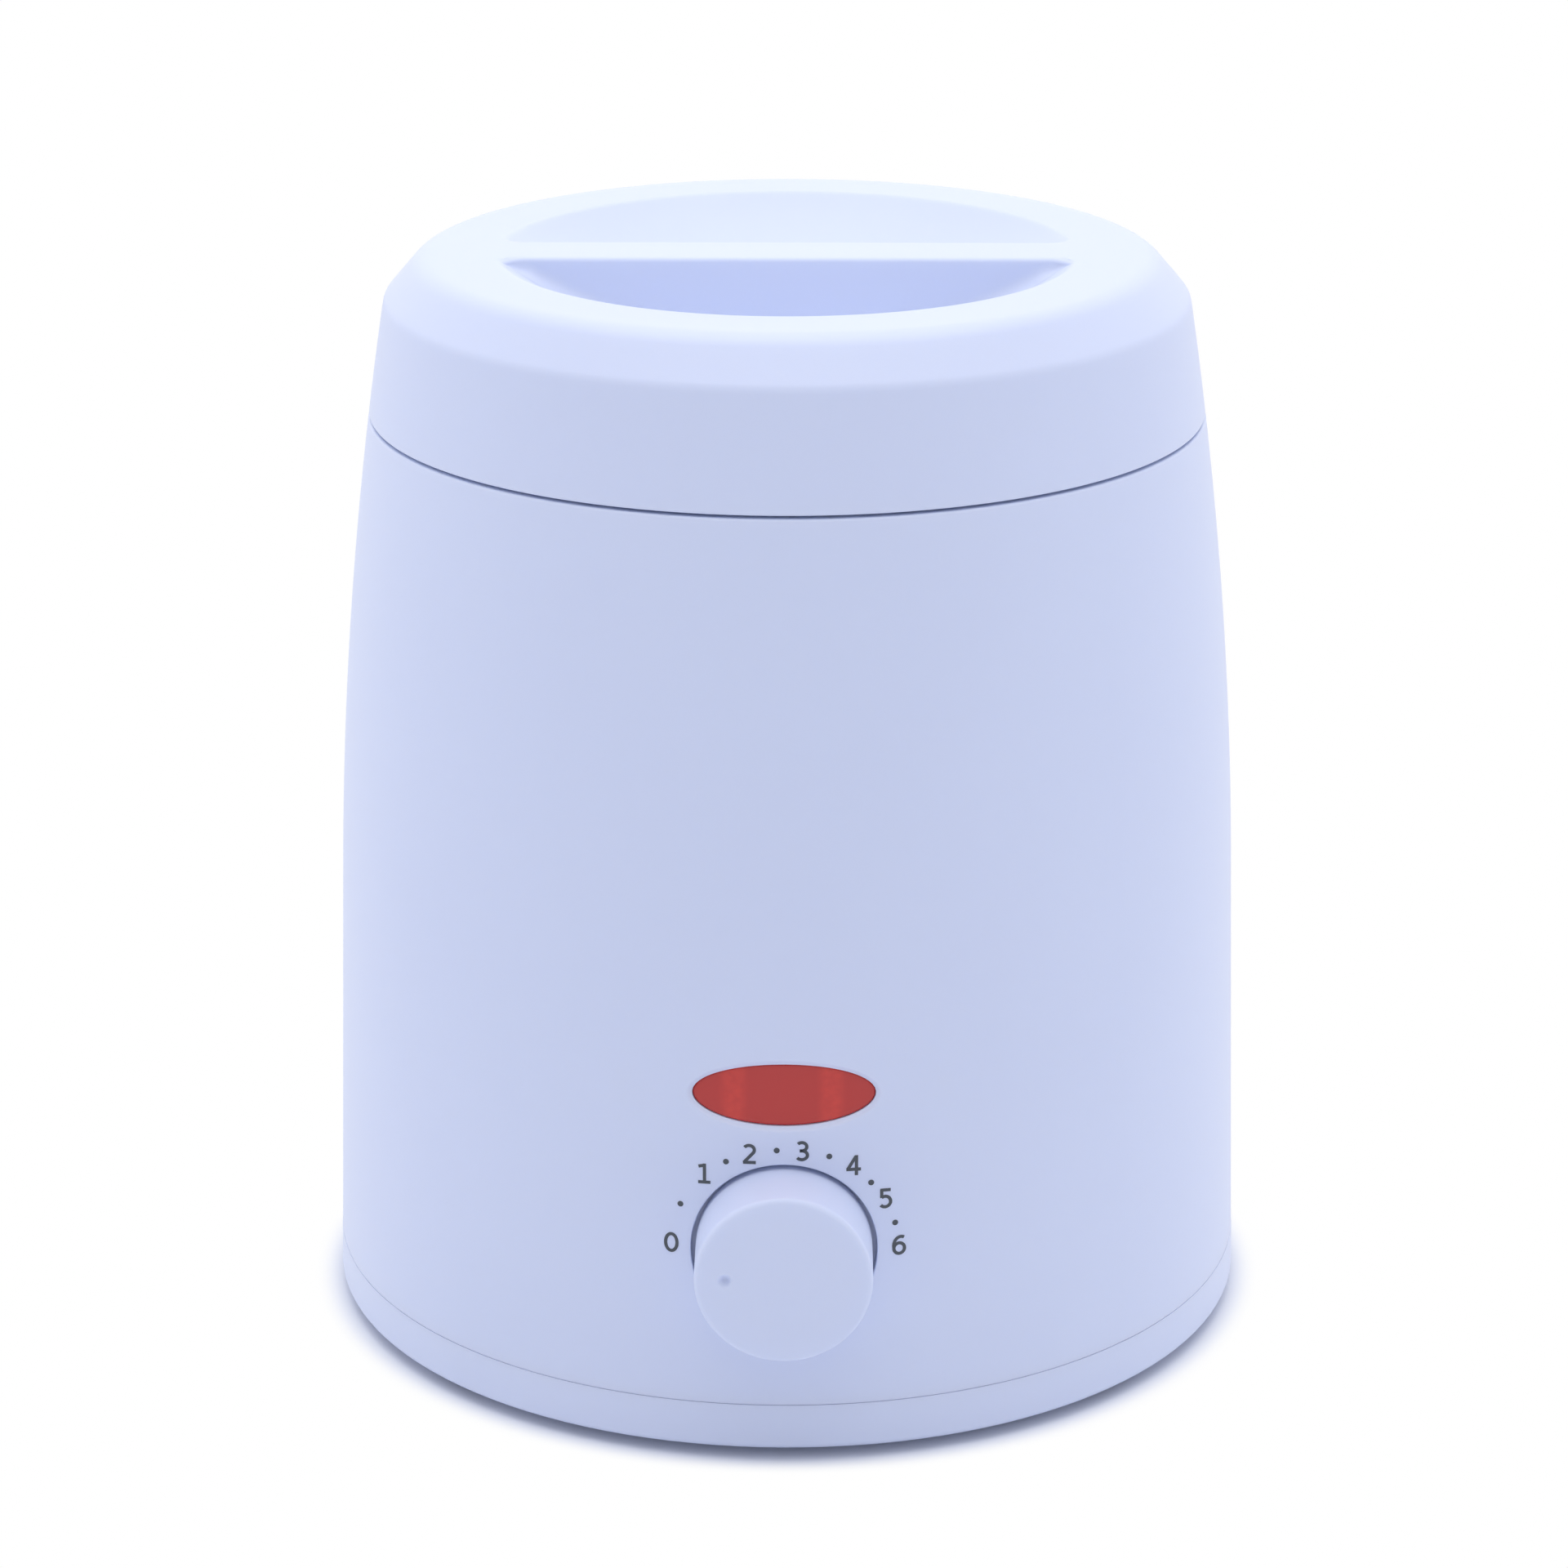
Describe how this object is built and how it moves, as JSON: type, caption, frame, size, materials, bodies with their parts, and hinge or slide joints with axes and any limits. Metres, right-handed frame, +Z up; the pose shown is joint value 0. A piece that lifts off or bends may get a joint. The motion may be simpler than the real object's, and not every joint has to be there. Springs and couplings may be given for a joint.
{
  "type": "wax warmer pot",
  "caption": "Round tabletop wax warmer with a lift-off lid, a removable pot in a heated well, a thermostat knob and an indicator window.",
  "frame": {"origin": "on the vertical axis, in the plane that the feet stand on", "axes": "+Z up, front with the knob towards -Y, +X to the right seen from the front"},
  "size_m": [0.1299, 0.146, 0.15],
  "materials": {
    "body_abs": "satin moulded ABS",
    "lid_abs": "satin moulded ABS",
    "knob_abs": "satin moulded ABS",
    "lens_red": "polished translucent polycarbonate",
    "foot_rubber": "moulded rubber",
    "pot_aluminium": "spun, satin",
    "well_aluminium": "deep drawn",
    "bail_wire": "nickel-plated wire",
    "zinc_steel": "zinc plated",
    "band_steel": "mica band in a steel sheath",
    "gasket_silicone": "silicone",
    "glass_fibre": "needled glass fibre",
    "copper": "drawn copper",
    "brass_parts": "turned brass",
    "phenolic": "moulded phenolic",
    "nylon": "moulded nylon",
    "lamp_glass": "clear bulb",
    "resistor_body": "lacquered",
    "fuse_sleeve": "braided glass-fibre sleeve",
    "lead_white": "silicone insulation",
    "lead_black": "silicone insulation",
    "lead_earth": "green and yellow insulation",
    "deck_pbt": "moulded heat-resistant polyester"
  },
  "bodies": {
    "housing": {"housing_shell": "body_abs", "base_cover": "body_abs", "rubber_feet": "foot_rubber", "base_screws": "zinc_steel", "top_deck": "deck_pbt", "heating_well": "well_aluminium", "well_gasket": "gasket_silicone", "well_screws": "zinc_steel", "heater_band": "band_steel", "clamp_screw": "zinc_steel", "clamp_nut": "zinc_steel", "insulation_wrap": "glass_fibre", "insulation_ties": "zinc_steel", "heat_shield": "zinc_steel", "stud_spacer": "zinc_steel", "stud_nut": "zinc_steel", "sensor_clip": "zinc_steel", "sensor_bulb": "copper", "thermal_fuse": "fuse_sleeve", "capillary_tube": "copper", "thermostat_body": "phenolic", "thermostat_bracket": "zinc_steel", "thermostat_tabs": "brass_parts", "thermostat_screws": "zinc_steel", "indicator_lens": "lens_red", "lamp_bracket": "nylon", "lamp_screws": "zinc_steel", "neon_lamp": "lamp_glass", "lamp_resistor": "resistor_body", "terminal_block": "nylon", "terminal_screws": "brass_parts", "block_screw": "zinc_steel", "earth_tag": "brass_parts", "cord_gland": "nylon", "gland_dome_nut": "nylon", "gland_lock_nut": "nylon", "heater_leads": "lead_white", "thermostat_leads": "lead_black", "lamp_leads": "lead_white", "earth_lead": "lead_earth"},
    "pot": {"wax_pot": "pot_aluminium", "pot_ears": "zinc_steel"},
    "bail": {"bail_handle": "bail_wire"},
    "lid": {"lid": "lid_abs"},
    "knob": {"knob": "knob_abs", "thermostat_shaft": "zinc_steel"}
  },
  "joints": [
    {"name": "pot_lift", "type": "slide", "parent": "housing", "child": "pot", "axis": [0, 0, 1], "range_m": [0, 0.08]},
    {"name": "lid_lift", "type": "slide", "parent": "pot", "child": "lid", "axis": [0, 0, 1], "range_m": [0, 0.08]},
    {"name": "bail_swing", "type": "hinge", "parent": "pot", "child": "bail", "pos_m": [0, 0, 0.1297], "axis": [1, 0, 0], "range_deg": [0, 90]},
    {"name": "knob_turn", "type": "hinge", "parent": "housing", "child": "knob", "pos_m": [0, -0.06, 0.03], "axis": [0, 1, 0], "range_deg": [0, 180]}
  ],
  "couplings": [
    {"joint": "bail_swing", "follows": "lid_lift", "rad_per_m": 19.63}
  ]
}
